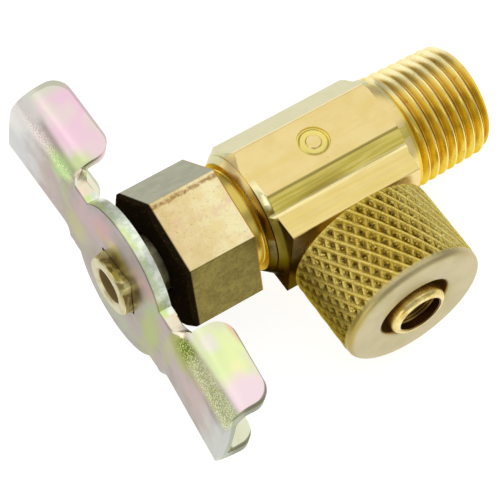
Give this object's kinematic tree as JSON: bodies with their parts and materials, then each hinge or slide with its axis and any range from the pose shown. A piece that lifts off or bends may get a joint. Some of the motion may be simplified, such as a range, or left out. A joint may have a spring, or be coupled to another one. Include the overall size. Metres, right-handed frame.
{
  "type": "needle valve",
  "caption": "Small angle needle valve: taper-threaded inlet, hex packing nut, stamped wing handle and a knurled compression nut for tube on the side outlet.",
  "frame": {"origin": "on the stem axis, where the crests of the male inlet thread start", "axes": "+X along the stem axis out of the inlet thread; -Y along the outlet, out of the knurled nut; +Z out of the body's flat top face"},
  "size_m": [0.0348, 0.034, 0.016],
  "materials": {
    "brass": "drawn and turned",
    "brass_dull": "tarnished",
    "brass_knurled": "knurled",
    "zinc_chromate": "yellow chromate over zinc",
    "rubber": "matt",
    "packing": "waxy",
    "sleeve": "smooth"
  },
  "bodies": {
    "body": {"valve_body": "brass", "packing_washer": "brass", "packing_ring_inner": "packing", "packing_ring_outer": "packing", "tube_support": "brass"},
    "stem_seal": {"stem_o_ring": "rubber"},
    "spindle": {"stem": "brass_dull", "handle": "zinc_chromate"},
    "gland": {"packing_gland": "brass"},
    "hex_nut": {"packing_nut": "brass_dull"},
    "sleeve": {"compression_sleeve": "sleeve"},
    "tube_nut": {"compression_nut": "brass_knurled"}
  },
  "joints": [
    {"name": "stem_lift", "type": "slide", "parent": "body", "child": "stem_seal", "axis": [-1, 0, 0], "range_m": [0, 0.00238]},
    {"name": "handle_turn", "type": "hinge", "parent": "stem_seal", "child": "spindle", "pos_m": [-0.0263, 0, 0], "axis": [-1, 0, 0], "range_deg": [0, 1080]},
    {"name": "gland_lift", "type": "slide", "parent": "body", "child": "gland", "axis": [-1, 0, 0], "range_m": [0, 0.00079376]},
    {"name": "packing_nut_turn", "type": "hinge", "parent": "gland", "child": "hex_nut", "pos_m": [-0.0197, 0, 0], "axis": [-1, 0, 0], "range_deg": [0, 270]},
    {"name": "sleeve_slide", "type": "slide", "parent": "body", "child": "sleeve", "axis": [0, -1, 0], "range_m": [0, 0.00318]},
    {"name": "compression_nut_turn", "type": "hinge", "parent": "sleeve", "child": "tube_nut", "pos_m": [-0.0075, -0.011, 0], "axis": [0, -1, 0], "range_deg": [0, 1080]}
  ],
  "couplings": [
    {"joint": "stem_lift", "follows": "handle_turn", "m_per_rad": 0.00012633},
    {"joint": "gland_lift", "follows": "packing_nut_turn", "m_per_rad": 0.00016844},
    {"joint": "sleeve_slide", "follows": "compression_nut_turn", "m_per_rad": 0.00016844}
  ]
}
